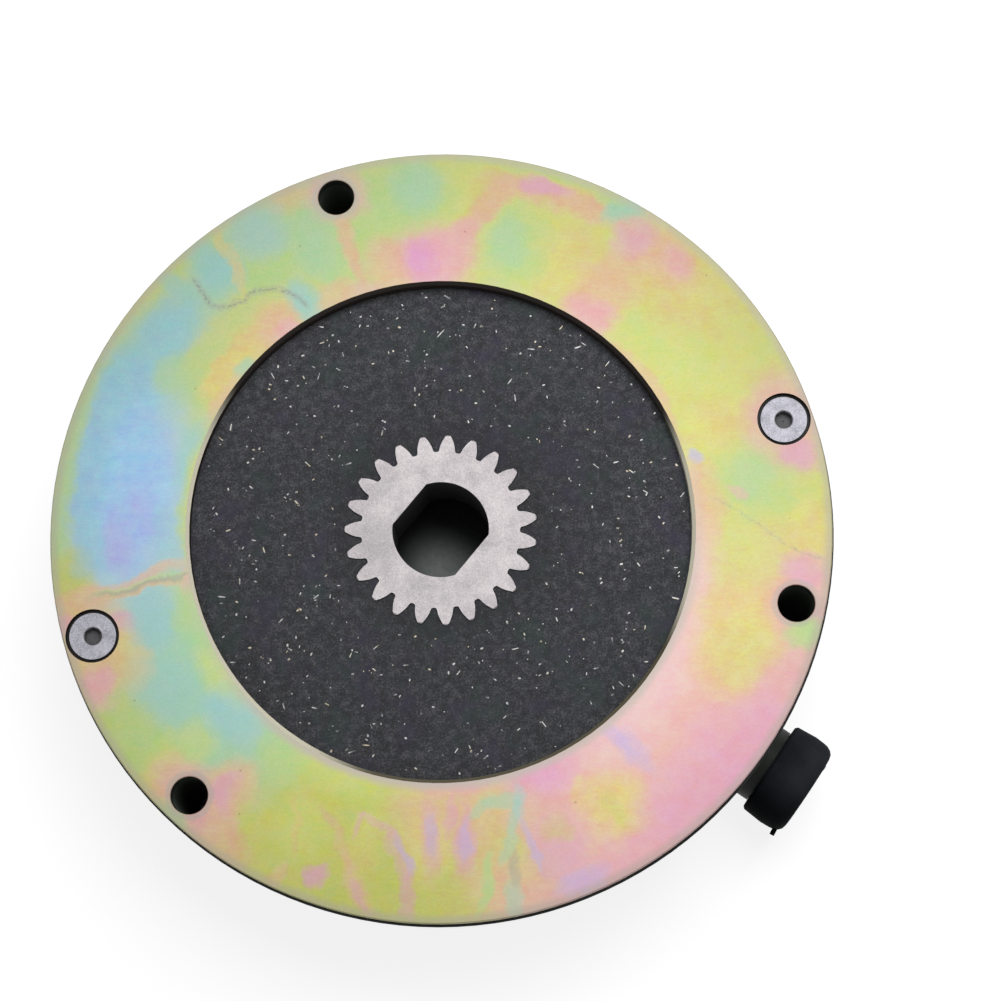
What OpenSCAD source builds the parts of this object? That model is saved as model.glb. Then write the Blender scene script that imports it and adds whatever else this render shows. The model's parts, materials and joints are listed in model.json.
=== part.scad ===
// Spring-applied electromagnetic motor brake, lying on its back with its mounting face up.
// Millimetres. The Z axis is the shaft axis, z = 0 is the back face, +Z leaves the mounting face.

/* [Magnet body] */
// Outside diameter of the magnet body at its rim
body_d = 202.4; // [185:0.1:240]
// How much smaller the cast body's radius is at its back
body_draft = 1.5; // [0:0.1:2.5]
// Height of the pole face above the back face
magnet_h = 28.5; // [26:0.5:38]
// Inner pole's share of the width between the centre well and the inside of the rim
inner_share = 0.29; // [0.24:0.01:0.34]
// Outer pole's share of that width; the coil has the rest
outer_share = 0.345; // [0.315:0.005:0.38]
// Thickness of the floor under the coil
coil_floor = 8; // [6:0.5:12]
// Thickness of the floor under the centre well
well_floor = 6; // [4:0.5:12]
// Wall of the rim that carries the flange plate
rim_wall = 16.2; // [14:0.1:19]
// Chamfer round the back edge
back_chamfer = 1.5; // [0.5:0.1:3]
// Chamfer round the edge of the rim
rim_chamfer = 0.3; // [0.2:0.1:1]
// Radial room in the well round the hub
well_room = 5; // [3:0.5:8]

/* [Coil] */
// Wall of the bobbin
bobbin_wall = 1.2; // [0.8:0.1:2]
// Thickness of the resin over the coil
resin_cover = 3; // [2:0.5:5]
// How far the resin stays below the pole face
resin_recess = 0.3; // [0.1:0.1:1]
// Thickness of the resin round the winding
resin_side = 1; // [0.5:0.1:2]

/* [Springs and guide pins] */
// Outside diameter of a spring
spring_od = 11.4; // [9:0.2:12]
// Wire diameter of a spring
wire_d = 1.8; // [1.4:0.1:2.2]
// Turns of a spring, with one closed turn at each end
spring_turns = 6; // [5:0.5:7]
// Depth of a spring pocket below the pole face
pocket_depth = 18; // [14:0.5:20]
// Diameter of a guide pin
pin_d = 8; // [6:0.5:10]
// Length of a guide pin in its seat
pin_seat = 12; // [8:0.5:16]

/* [Armature] */
// Thickness of the armature plate
armature_t = 9; // [7:0.5:14]
// Air gap between the released armature's seat and its rest, the travel of the brake
air_gap = 0.5; // [0.3:0.1:1]
// Radial room between the hub's teeth and the armature's bore
armature_bore_room = 2; // [1:0.5:4]

/* [Friction disc] */
// Thickness of the friction disc
disc_t = 10; // [7:0.5:14]
// Chamfer round the friction disc
disc_chamfer = 0.5; // [0.2:0.1:1]

/* [Toothed hub] */
// Number of teeth
teeth = 23; // [20:1:25]
// Module of the teeth
tooth_module = 2; // [1.8:0.05:2.1]
// Length of the hub
hub_l = 22; // [14:1:30]
// Chamfer on the ends of the teeth
tooth_chamfer = 0.3; // [0.1:0.1:0.8]
// How far the hub stands proud of the friction disc
hub_proud = 0.5; // [0:0.1:2]
// Diameter of the shaft bore
shaft_d = 25; // [20:0.5:28]
// Distance across the two flats of the shaft bore
shaft_flats = 21; // [17:0.5:24]
// Direction that one flat of the shaft bore faces
flat_angle = 140.8; // [0:0.1:180]
// Direction of one tooth
tooth_angle = 7.5; // [0:0.1:15]

/* [Flange plate] */
// Thickness of the flange plate
flange_t = 4; // [3.5:0.5:8]
// Diameter of the opening in the flange plate
flange_id = 129.4; // [110:0.1:140]
// How far the flange plate stays inside the outside of the rim
flange_inset = 0.7; // [0:0.1:2]
// Chamfer round the outside of the mounting face
flange_chamfer = 0.3; // [0.2:0.1:1.2]
// Chamfer round the opening
opening_chamfer = 0.9; // [0.2:0.1:1.2]

/* [Holes and screws] */
// Distance of the hole circle from the outside of the magnet body
hole_edge = 8.2; // [7.5:0.1:9]
// Diameter of a mounting hole
mount_d = 9.5; // [6:0.5:9.5]
// Chamfer of a mounting hole
mount_chamfer = 0.2; // [0.1:0.1:0.8]
// Direction of the first mounting hole
mount_angle = 107.6; // [90:0.1:120]
// Thread diameter of a flange screw
screw_d = 6; // [5:0.5:6]
// Length of a flange screw over its head
screw_l = 16; // [12:1:25]
// Head diameter of a flange screw
head_d = 12; // [10:0.5:12.5]
// Height of the straight rim of a screw head
head_rim = 0.3; // [0.1:0.1:0.6]
// Width across the flats of the screw socket
socket_af = 4; // [3:0.5:5]
// Depth of the screw socket
socket_depth = 2.3; // [1.5:0.1:3]
// How much wider than its corners the socket's chamfered mouth opens
mouth_extra = 0.4; // [0.1:0.1:0.8]
// How much wider than the head the countersink opens
countersink_extra = 1.8; // [0.6:0.1:2]
// Depth of the straight pocket round a screw head
head_pocket = 1.6; // [0.8:0.1:1.8]

/* [Cable inlet] */
// Direction of the cable inlet
inlet_angle = -34.2; // [-50:0.1:-25]
// Diameter of the inlet neck
neck_d = 21; // [20:0.5:23]
// Length of the inlet neck between its seat and the cap
neck_l = 4.6; // [3:0.1:8]
// Width of the milled flat round the foot of the neck
seat_margin = 1.5; // [1:0.1:2]
// Diameter of the neck's threaded shank
shank_d = 16; // [14:0.5:17]
// Length of the neck's threaded shank
shank_l = 11; // [8:0.5:13]
// Least wall of the neck's shank round its bore
shank_wall = 2; // [1:0.5:3]
// Diameter of the spigot under the cap
spigot_d = 18; // [17:0.5:19]
// Diameter of the cap
cap_d = 26.8; // [23:0.1:28]
// Length of the cap
cap_l = 11.9; // [9:0.1:16]
// Thickness of the cap's end wall
cap_end = 3; // [2:0.5:4]
// Diameter of the cable hole
cable_d = 9; // [6:0.5:10]
// Wall of the sealing bush
bush_wall = 2; // [1:0.5:2]
// Diameter of the duct from the inlet to the coil
duct_d = 7; // [4:0.5:9]

/* [Clearances] */
// Radial room round the armature and the friction disc
armature_clear = 1; // [0.5:0.1:2]
// Radial room round the friction disc
disc_clear = 2; // [1:0.5:4]
// Room between the hub's teeth and the disc's teeth
tooth_clear = 0.15; // [0.1:0.01:0.25]
// Radial room round a spring in its pocket
spring_clear = 0.5; // [0.3:0.1:0.8]
// Radial running room of the armature on its guide pins
pin_clear = 0.08; // [0.05:0.01:0.1]
// Radial room of a part that is fixed in its seat
seat_clear = 0.03; // [0.02:0.01:0.05]
// Radial room of a screw in a plain hole
screw_clear = 0.3; // [0.2:0.1:0.5]
// Radial room between the inner pole and the bobbin
bobbin_room = 0.3; // [0.3:0.1:1]
// How far a guide pin stays below the armature's face when the coil has pulled it
pin_recess = 0.5; // [0.2:0.1:1]
// Gap between the inlet neck's collar and the cap
cap_gap = 0.2; // [0.1:0.1:0.5]

/* [Hidden] */

large_fn = 120;
small_fn = 48;
// How far a cutting solid runs past the face that it opens
past = 1;

// Heights of the faces, from the back face up
pole_z = magnet_h;
armature_z = pole_z + air_gap;
disc_z = armature_z + armature_t;
rim_z = disc_z + disc_t;
front_z = rim_z + flange_t;

// Depth of a tooth below the pitch circle, in modules
root_depth = 1.25;

// Radii, from the axis out
pitch_r = tooth_module * teeth / 2;
tip_r = pitch_r + tooth_module;
root_r = pitch_r - root_depth * tooth_module;
well_r = tip_r + well_room;
body_r = body_d / 2;
cavity_r = body_r - rim_wall;
// The coil fills what is left between the two poles
magnet_w = cavity_r - well_r;
coil_in_r = well_r + inner_share * magnet_w;
coil_out_r = cavity_r - outer_share * magnet_w;
body_back_r = body_r - body_draft;
flange_r = body_r - flange_inset;
hole_r = body_r - hole_edge;
// The springs and the guide pins share one circle, in the middle of the outer pole
spring_r = (coil_out_r + cavity_r) / 2;
pocket_r = spring_od / 2 + spring_clear;
armature_r = cavity_r - armature_clear;
disc_r = cavity_r - disc_clear;

// Three mounting holes, two flange screws across a diameter, six springs and three guide pins
mount_count = 3;
screw_count = 2;
screw_angle = mount_angle - 90;
spring_count = 6;
pin_count = 3;

// The inlet passes midway between two springs, and the pins stand midway between others
spring_step = 360 / spring_count;
spring_angle = inlet_angle + spring_step / 2;
pin_angle = inlet_angle + spring_step;

// Height of the inlet's axis, the middle of the coil space
inlet_z = (coil_floor + pole_z) / 2;
// The flat that is milled for the neck is as wide as the neck and its margin
seat_flat_r = neck_d / 2 + seat_margin;
// The flat reaches the body's wall at its lowest point, where the draft has made the body smallest
seat_low_z = inlet_z - seat_flat_r;
seat_wall_r = body_back_r + body_draft * (seat_low_z - back_chamfer) / (rim_z - rim_chamfer - back_chamfer);
seat_x = sqrt(seat_wall_r * seat_wall_r - seat_flat_r * seat_flat_r);
cap_x = seat_x + neck_l + cap_gap;
cap_out_x = cap_x + cap_l;
spigot_x = cap_out_x - cap_end;

// Turned solid round the Z axis, from points of radius and height
module turned(points) {
    rotate_extrude($fn = large_fn)
        polygon(points);
}

// Ring with its own heights and radii
module ring(inner, outer, z0, z1) {
    turned([[inner, z0], [outer, z0], [outer, z1], [inner, z1]]);
}

// Children repeated on a circle round the Z axis
module round_circle(count, radius, first) {
    for (i = [0:count - 1])
        rotate([0, 0, first + i * 360 / count])
            translate([radius, 0, 0])
                children();
}

// Children stand with their Z axis along the inlet, counted from the shaft axis
module at_inlet() {
    rotate([0, 0, inlet_angle])
        translate([0, 0, inlet_z])
            rotate([0, 90, 0])
                children();
}

// Involute of the tooth flank, in degrees, for a pressure angle
function involute(angle) = tan(angle) * 180 / PI - angle;

pressure_angle = 25;
base_r = pitch_r * cos(pressure_angle);
// How far the flank leans away from the tooth's middle at its tip
tip_lean = acos(base_r / tip_r);
tip_round = 0.35 * tooth_module;
root_round = 0.3 * tooth_module;

// Half of a tooth's thickness angle at a radius, in degrees; straight and radial below the base circle
function half_tooth(r) =
    90 / teeth + involute(pressure_angle) - involute(acos(min(1, base_r / max(r, base_r))));

// Half of a tooth's thickness at a radius, in millimetres
function half_width(r, grow) = r * half_tooth(r) * PI / 180 + grow;

// Half of the space between two teeth at a radius
function half_space(r, grow) = r * PI / teeth - half_width(r, grow);

// One flank from the root to the tip as [radius, angle from the tooth's middle]
function flank(grow) =
    let (
        foot_r = root_r + grow + root_round,
        foot_space = half_space(foot_r, grow) - root_round,
        crown_r = tip_r + grow - tip_round,
        top_r = crown_r + tip_round * sin(tip_lean),
        crown_half = half_width(top_r, grow) - tip_round * cos(tip_lean),
        start_r = max(foot_r, base_r)
    )
    concat(
        [for (a = [0:45:90])
            let (r = foot_r - root_round * cos(a))
            [r, 180 / teeth - (foot_space + root_round * sin(a)) / r * 180 / PI]],
        [for (i = [0:2])
            let (r = start_r + (top_r - start_r) * (i + 1) / 4)
            [r, half_width(r, grow) / r * 180 / PI]],
        [for (i = [0:3])
            let (a = tip_lean + (90 - tip_lean) * i / 3, r = crown_r + tip_round * sin(a))
            [r, (crown_half + tip_round * cos(a)) / r * 180 / PI]]
    );

// Outline of all the teeth; grow widens every tooth by the same amount on its flanks and its tip
function toothed_outline(grow) =
    let (side = flank(grow), n = len(side))
    [for (t = [0:teeth - 1])
        let (middle = tooth_angle + t * 360 / teeth)
        each concat(
            [for (i = [0:n - 1]) side[i][0] * [cos(middle - side[i][1]), sin(middle - side[i][1])]],
            [for (i = [n - 1:-1:0]) side[i][0] * [cos(middle + side[i][1]), sin(middle + side[i][1])]]
        )];

module toothed_prism(z0, z1, grow) {
    translate([0, 0, z0])
        linear_extrude(z1 - z0)
            polygon(toothed_outline(grow));
}

// Steel pot with the coil groove, the spring pockets and a rim that holds the flange plate
module magnet_body() {
    color("#1b1d1c")
        difference() {
            turned([
                [0, 0],
                [body_back_r - back_chamfer, 0],
                [body_back_r, back_chamfer],
                [body_r, rim_z - rim_chamfer],
                [body_r - rim_chamfer, rim_z],
                [cavity_r, rim_z],
                [cavity_r, pole_z],
                [coil_out_r, pole_z],
                [coil_out_r, coil_floor],
                [coil_in_r, coil_floor],
                [coil_in_r, pole_z],
                [well_r, pole_z],
                [well_r, well_floor],
                [0, well_floor]
            ]);
            spring_pockets();
            pin_seats();
            round_circle(mount_count, hole_r, mount_angle)
                translate([0, 0, -past])
                    cylinder(r = mount_d / 2, h = rim_z + 2 * past, $fn = small_fn);
            round_circle(screw_count, hole_r, screw_angle)
                screw_hole();
            inlet_port();
        }
}

module spring_pockets() {
    round_circle(spring_count, spring_r, spring_angle)
        translate([0, 0, pole_z - pocket_depth])
            cylinder(r = pocket_r, h = pocket_depth + past, $fn = small_fn);
}

module pin_seats() {
    round_circle(pin_count, spring_r, pin_angle)
        translate([0, 0, pole_z - pin_seat])
            cylinder(r = pin_d / 2 + seat_clear, h = pin_seat + past, $fn = small_fn);
}

// Countersink of 90 degrees, in which the screw head sits below the mounting face
countersink_r = (head_d + countersink_extra) / 2;
screw_top_z = front_z - (countersink_extra / 2) + head_rim + seat_clear;
screw_end_z = screw_top_z - screw_l;
drill_room = 1.5;

// Blind hole in the rim with a drilled point
module screw_hole() {
    hole = screw_d / 2 + seat_clear;
    translate([0, 0, screw_end_z - drill_room])
        cylinder(r = hole, h = rim_z - screw_end_z + drill_room + past, $fn = small_fn);
    translate([0, 0, screw_end_z - drill_room - hole / 2])
        cylinder(r1 = 0, r2 = hole, h = hole / 2, $fn = small_fn);
}

// Milled seat, threaded port and the duct to the coil
module inlet_port() {
    at_inlet() {
        translate([0, 0, seat_x])
            cylinder(r = seat_flat_r, h = body_r - seat_x + past, $fn = small_fn);
        translate([0, 0, seat_x - shank_l - drill_room])
            cylinder(r = shank_d / 2 + seat_clear, h = shank_l + drill_room + past, $fn = small_fn);
        translate([0, 0, coil_out_r - past])
            cylinder(r = duct_d / 2, h = seat_x - coil_out_r, $fn = small_fn);
    }
}

// Turned or moulded spool of U section, open to the outside
bobbin_in_r = coil_in_r + bobbin_room;
bobbin_out_r = coil_out_r - resin_side;
bobbin_top_z = pole_z - resin_recess - resin_cover;
module coil_bobbin() {
    color("#d9d3c0")
        turned([
            [bobbin_in_r, coil_floor],
            [bobbin_out_r, coil_floor],
            [bobbin_out_r, coil_floor + bobbin_wall],
            [bobbin_in_r + bobbin_wall, coil_floor + bobbin_wall],
            [bobbin_in_r + bobbin_wall, bobbin_top_z - bobbin_wall],
            [bobbin_out_r, bobbin_top_z - bobbin_wall],
            [bobbin_out_r, bobbin_top_z],
            [bobbin_in_r, bobbin_top_z]
        ]);
}

module coil_winding() {
    color("#b5652b")
        ring(bobbin_in_r + bobbin_wall, bobbin_out_r, coil_floor + bobbin_wall, bobbin_top_z - bobbin_wall);
}

// Resin over the spool and down between the winding and the outer pole
module coil_resin() {
    color("#20211f")
        turned([
            [bobbin_out_r, coil_floor],
            [coil_out_r, coil_floor],
            [coil_out_r, pole_z - resin_recess],
            [coil_in_r, pole_z - resin_recess],
            [coil_in_r, bobbin_top_z],
            [bobbin_out_r, bobbin_top_z]
        ]);
}

// Centre line height of the spring wire after a number of turns; the end turns are closed
closed_pitch = wire_d + 0.1;
spring_z0 = pole_z - pocket_depth;
spring_h = armature_z - spring_z0;
// The wire's centre line starts a quarter of its diameter inside the ground ends
end_inset = wire_d / 4;
open_pitch = (spring_h - 2 * end_inset - 2 * closed_pitch) / (spring_turns - 2);
function wire_height(turn) =
    end_inset + closed_pitch * min(turn, 1)
    + open_pitch * max(0, min(turn, spring_turns - 1) - 1)
    + closed_pitch * max(0, turn - (spring_turns - 1));

wire_sides = 6;
turn_steps = 14;
coil_rings = floor(spring_turns * turn_steps) + 1;

// One point on the wire's skin, pressed flat where the spring's ends are ground
function wire_point(ring, side) =
    let (
        turn = ring * spring_turns / (coil_rings - 1),
        a = turn * 360,
        b = side * 360 / wire_sides,
        r = (spring_od - wire_d) / 2 + wire_d / 2 * cos(b),
        z = wire_height(turn) + wire_d / 2 * sin(b)
    )
    [r * cos(a), r * sin(a), max(0, min(spring_h, z))];

module spring() {
    points = [for (i = [0:coil_rings - 1], j = [0:wire_sides - 1]) wire_point(i, j)];
    last = (coil_rings - 1) * wire_sides;
    faces = concat(
        [[for (j = [0:wire_sides - 1]) j]],
        [for (i = [0:coil_rings - 2], j = [0:wire_sides - 1])
            let (
                p = i * wire_sides + j,
                q = i * wire_sides + (j + 1) % wire_sides
            )
            each [[p, p + wire_sides, q], [q, p + wire_sides, q + wire_sides]]],
        [[for (j = [wire_sides - 1:-1:0]) last + j]]
    );
    polyhedron(points = points, faces = faces, convexity = 8);
}

module spring_at(index) {
    color("#8f9296")
        rotate([0, 0, spring_angle + index * spring_step])
            translate([spring_r, 0, spring_z0])
                spring();
}

// Hardened pin with chamfered ends, which the armature slides on
pin_top_z = disc_z - air_gap - pin_recess;
pin_chamfer = 0.6;
module guide_pin_at(index) {
    pin_r = pin_d / 2;
    color("#a9acb0")
        rotate([0, 0, pin_angle + index * 360 / pin_count])
            translate([spring_r, 0, 0])
                rotate_extrude($fn = small_fn)
                    polygon([
                        [0, pole_z - pin_seat],
                        [pin_r - pin_chamfer, pole_z - pin_seat],
                        [pin_r, pole_z - pin_seat + pin_chamfer],
                        [pin_r, pin_top_z - pin_chamfer],
                        [pin_r - pin_chamfer, pin_top_z],
                        [0, pin_top_z]
                    ]);
}

// Steel plate that the springs push and the coil pulls
module armature_plate() {
    bore_r = tip_r + armature_bore_room;
    edge = 0.5;
    color("#5d6064")
        difference() {
            turned([
                [bore_r, armature_z],
                [armature_r - edge, armature_z],
                [armature_r, armature_z + edge],
                [armature_r, disc_z - edge],
                [armature_r - edge, disc_z],
                [bore_r, disc_z]
            ]);
            round_circle(pin_count, spring_r, pin_angle)
                translate([0, 0, armature_z - past])
                    cylinder(r = pin_d / 2 + pin_clear, h = armature_t + 2 * past, $fn = small_fn);
        }
}

// Moulded lining, one piece right up to the teeth that it rides on
module friction_disc() {
    color("#43444a")
        difference() {
            turned([
                [0, disc_z],
                [disc_r - disc_chamfer, disc_z],
                [disc_r, disc_z + disc_chamfer],
                [disc_r, rim_z - disc_chamfer],
                [disc_r - disc_chamfer, rim_z],
                [0, rim_z]
            ]);
            toothed_prism(disc_z - past, rim_z + past, tooth_clear);
        }
}

// Steel hub with involute teeth, turned chamfers on their ends and a bore with two flats
hub_top_z = rim_z + hub_proud;
hub_foot_z = hub_top_z - hub_l;
module toothed_hub() {
    color("#b0abb0")
        difference() {
            intersection() {
                toothed_prism(hub_foot_z, hub_top_z, 0);
                turned([
                    [0, hub_foot_z],
                    [tip_r - tooth_chamfer, hub_foot_z],
                    [tip_r + past, hub_foot_z + tooth_chamfer + past],
                    [tip_r + past, hub_top_z - tooth_chamfer - past],
                    [tip_r - tooth_chamfer, hub_top_z],
                    [0, hub_top_z]
                ]);
            }
            translate([0, 0, hub_foot_z - past])
                intersection() {
                    cylinder(r = shaft_d / 2, h = hub_l + 2 * past, $fn = large_fn);
                    rotate([0, 0, flat_angle])
                        translate([-shaft_flats / 2, -shaft_d, 0])
                            cube([shaft_flats, 2 * shaft_d, hub_l + 2 * past]);
                }
        }
}

// Plate that faces the motor, and that the friction disc is pressed against
module flange_plate() {
    opening_r = flange_id / 2;
    back_edge = 0.3;
    color("#cdbf86")
        difference() {
            turned([
                [opening_r, rim_z],
                [flange_r - back_edge, rim_z],
                [flange_r, rim_z + back_edge],
                [flange_r, front_z - flange_chamfer],
                [flange_r - flange_chamfer, front_z],
                [opening_r + opening_chamfer, front_z],
                [opening_r, front_z - opening_chamfer]
            ]);
            round_circle(mount_count, hole_r, mount_angle) {
                translate([0, 0, rim_z - past])
                    cylinder(r = mount_d / 2, h = flange_t + 2 * past, $fn = small_fn);
                translate([0, 0, front_z - mount_chamfer])
                    cylinder(
                        r1 = mount_d / 2,
                        r2 = mount_d / 2 + mount_chamfer + past,
                        h = mount_chamfer + past,
                        $fn = small_fn
                    );
            }
            round_circle(screw_count, hole_r, screw_angle) {
                translate([0, 0, rim_z - past])
                    cylinder(r = screw_d / 2 + screw_clear, h = flange_t + 2 * past, $fn = small_fn);
                translate([0, 0, front_z - countersink_r])
                    cylinder(r1 = 0, r2 = countersink_r, h = countersink_r, $fn = small_fn);
                translate([0, 0, front_z - head_pocket])
                    cylinder(r = countersink_r, h = head_pocket + past, $fn = small_fn);
            }
        }
}

// Countersunk screw with a hexagon socket
module flange_screw() {
    shank_r = screw_d / 2;
    rise = head_d / 2 - shank_r;
    end_chamfer = 0.8;
    socket_r = socket_af / (2 * cos(30));
    mouth_r = socket_r + mouth_extra / 2;
    difference() {
        rotate_extrude($fn = small_fn)
            polygon([
                [0, screw_end_z],
                [shank_r - end_chamfer, screw_end_z],
                [shank_r, screw_end_z + end_chamfer],
                [shank_r, screw_top_z - head_rim - rise],
                [head_d / 2, screw_top_z - head_rim],
                [head_d / 2, screw_top_z],
                [0, screw_top_z]
            ]);
        translate([0, 0, screw_top_z - socket_depth])
            rotate([0, 0, 90 - screw_angle])
                cylinder(r = socket_r, h = socket_depth + past, $fn = 6);
        translate([0, 0, screw_top_z - mouth_r])
            cylinder(r1 = 0, r2 = mouth_r + past, h = mouth_r + past, $fn = small_fn);
    }
}

module flange_screws() {
    color("#c3c0ca")
        round_circle(screw_count, hole_r, screw_angle)
            flange_screw();
}

// Painted steel nipple with a flared foot, screwed into the magnet body
module inlet_neck() {
    neck_r = neck_d / 2;
    flare = 0.8;
    bore_r = cable_d / 2 + bush_wall;
    duct_r = min(cable_d, shank_d - 2 * shank_wall) / 2;
    color("#23261f")
        at_inlet()
            rotate_extrude($fn = small_fn)
                polygon([
                    [duct_r, seat_x - shank_l],
                    [shank_d / 2, seat_x - shank_l],
                    [shank_d / 2, seat_x],
                    [neck_r + flare, seat_x],
                    [neck_r, seat_x + flare],
                    [neck_r, seat_x + neck_l],
                    [spigot_d / 2, seat_x + neck_l],
                    [spigot_d / 2, spigot_x],
                    [bore_r, spigot_x],
                    [bore_r, seat_x + neck_l],
                    [duct_r, seat_x + neck_l]
                ]);
}

// Rubber bush that grips the cable inside the neck
module inlet_bush() {
    color("#2b2c2e")
        at_inlet()
            rotate_extrude($fn = small_fn)
                polygon([
                    [cable_d / 2, seat_x + neck_l],
                    [cable_d / 2 + bush_wall - seat_clear, seat_x + neck_l],
                    [cable_d / 2 + bush_wall - seat_clear, spigot_x],
                    [cable_d / 2, spigot_x]
                ]);
}

// Rubber cap over the neck, bellied in its middle, with the nib and the gate that its mould left
module inlet_cap() {
    cap_r = cap_d / 2;
    lip_fall = 0.45;
    end_fall = 0.15;
    round_r = 2.6;
    round_l = 3.5;
    inner_edge = 0.6;
    nib_r = 0.65;
    nib_l = 1.2;
    nib_lean = 85;
    nib_back = 2;
    gate_r = 0.7;
    gate_l = 0.4;
    gate_share = 0.38;
    gate_at = cable_d / 2 + gate_share * (cap_r - cable_d / 2);
    color("#26282b")
        at_inlet() {
            rotate_extrude($fn = small_fn)
                polygon(concat(
                    [
                        [spigot_d / 2 + seat_clear, cap_x],
                        [cap_r - lip_fall - inner_edge, cap_x],
                        [cap_r - lip_fall, cap_x + inner_edge],
                        [cap_r, cap_x + cap_l / 2]
                    ],
                    [for (a = [0:22.5:90])
                        [
                            cap_r - end_fall - round_r * (1 - cos(a)),
                            cap_out_x - round_l * (1 - sin(a))
                        ]],
                    [
                        [cable_d / 2, cap_out_x],
                        [cable_d / 2, spigot_x],
                        [spigot_d / 2 + seat_clear, spigot_x]
                    ]
                ));
            rotate([0, 0, 90])
                translate([-cap_r + round_r, 0, cap_out_x - nib_back])
                    rotate([0, -nib_lean, 0])
                        cylinder(r = nib_r, h = round_r + nib_l, $fn = small_fn);
            translate([0, gate_at, spigot_x])
                cylinder(r = gate_r, h = cap_end + gate_l, $fn = small_fn);
        }
}

magnet_body();
coil_bobbin();
coil_winding();
coil_resin();
spring_at(0);  // spring_1
spring_at(1);  // spring_2
spring_at(2);  // spring_3
spring_at(3);  // spring_4
spring_at(4);  // spring_5
spring_at(5);  // spring_6
guide_pin_at(0);  // guide_pin_1
guide_pin_at(1);  // guide_pin_2
guide_pin_at(2);  // guide_pin_3
armature_plate();
friction_disc();
toothed_hub();
flange_plate();
flange_screws();
inlet_neck();
inlet_bush();
inlet_cap();
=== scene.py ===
"""A spring-applied motor brake, lying on its back on a white table, as a product photograph shows it."""

import json
import math
from functools import reduce

import bpy
import numpy as np
from mathutils import Matrix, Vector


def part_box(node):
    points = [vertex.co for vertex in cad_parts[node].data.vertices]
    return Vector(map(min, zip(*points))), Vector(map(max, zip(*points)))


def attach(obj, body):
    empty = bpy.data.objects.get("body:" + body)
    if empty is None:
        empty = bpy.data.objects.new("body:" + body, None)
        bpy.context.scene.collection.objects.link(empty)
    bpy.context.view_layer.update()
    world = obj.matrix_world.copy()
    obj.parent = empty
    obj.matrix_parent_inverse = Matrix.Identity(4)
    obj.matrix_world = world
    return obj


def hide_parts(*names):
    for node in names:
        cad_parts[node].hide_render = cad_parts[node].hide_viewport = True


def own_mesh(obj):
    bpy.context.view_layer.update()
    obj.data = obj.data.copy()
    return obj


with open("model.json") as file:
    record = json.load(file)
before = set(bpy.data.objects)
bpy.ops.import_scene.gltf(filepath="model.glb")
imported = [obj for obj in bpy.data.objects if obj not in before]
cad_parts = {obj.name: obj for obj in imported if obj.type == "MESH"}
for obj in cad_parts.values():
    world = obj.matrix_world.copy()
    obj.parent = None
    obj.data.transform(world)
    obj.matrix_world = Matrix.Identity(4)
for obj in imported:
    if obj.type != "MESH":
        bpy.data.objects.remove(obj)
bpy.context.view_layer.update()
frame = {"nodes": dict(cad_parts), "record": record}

MM = 0.001


def heights(node):
    """Heights of a node's lowest and highest point at rest, in millimetres."""
    return [round(corner[2] / MM, 3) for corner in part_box(node)]


def stated(rows, name):
    """The row of a list in the brake's record that has this name."""
    return next(row for row in rows if row["name"] == name)


# Sizes and places of the brake, in millimetres and degrees: from the frame, or as the construction gives them
RECORD = frame["record"]
PLATE_FACE_Z = heights("flange_plate")[1]
DISC_FACE_Z = heights("friction_disc")[1]
HUB_FACE_Z = heights("toothed_hub")[1]
HEAD_FACE_Z = heights("flange_screws")[1]
WELL_FLOOR_Z = 6.0
BODY_R = 101.2
WELL_R = 30.0
PLATE_R = 100.5
OPENING_R = 64.7
OPENING_CHAMFER = 0.9
TOOTH_TIP_R = 25.0
BORE_R = 12.5

HOLES = stated(RECORD["mounts"], "mounting_holes")["dims"]
HOLE_R = HOLES["hole_r_mm"]
HOLE_CIRCLE_R = HOLES["pcd_mm"] / 2
FIRST_HOLE = 107.6
HOLE_ANGLES = [FIRST_HOLE + turn for turn in (0.0, 120.0, 240.0)]
SCREW_ANGLES = [FIRST_HOLE + turn for turn in (-90.0, 90.0)]
HEAD_R = 6.0
COUNTERSINK_R = 6.9
SOCKET_CORNER_R = 2.31
INLET_ANGLE = -34.2
PIN_COUNT = 3

SPRING_COUNT = 6
POCKET_FLOOR_Z, SPRING_TOP_Z = heights("spring_1")
SPRING_D = 11.4
SPRING_WIRE_D = 1.8
SPRING_TURNS = 6
ARMATURE_TRAVEL = -stated(RECORD["behaviour"]["joints"], "armature_slide")["range_m"][0] / MM


def pigment(red, green, blue):
    """A colour given as 0 to 255 on the screen, as the light values that a shader takes."""
    part = [c / 255 for c in (red, green, blue)]
    return tuple(c / 12.92 if c <= 0.04045 else ((c + 0.055) / 1.055) ** 2.4 for c in part) + (1.0,)


# Camera, light and table


def standing(right, up, back, place):
    """The matrix that stands a camera or a lamp at a place, with its three axes in these directions."""
    return Matrix([(right[i], up[i], back[i], place[i]) for i in range(3)] + [(0, 0, 0, 1)])


def place_camera():
    """The camera of the photograph: nearly above the brake, a little below its middle in the picture."""
    data = bpy.data.cameras.new("camera")
    data.sensor_width = 36.0
    data.lens = 88.04
    data.clip_start = 0.01
    data.clip_end = 50.0
    camera = bpy.data.objects.new("camera", data)
    bpy.context.scene.collection.objects.link(camera)
    right = (0.99966, 0.0026, -0.026)
    up = (0.0026, 0.9803, 0.1975)
    back = (0.026, -0.1975, 0.98)
    camera.matrix_world = standing(right, up, back, place=(0.0319, -0.1174, 0.6686))
    bpy.context.scene.camera = camera


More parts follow.
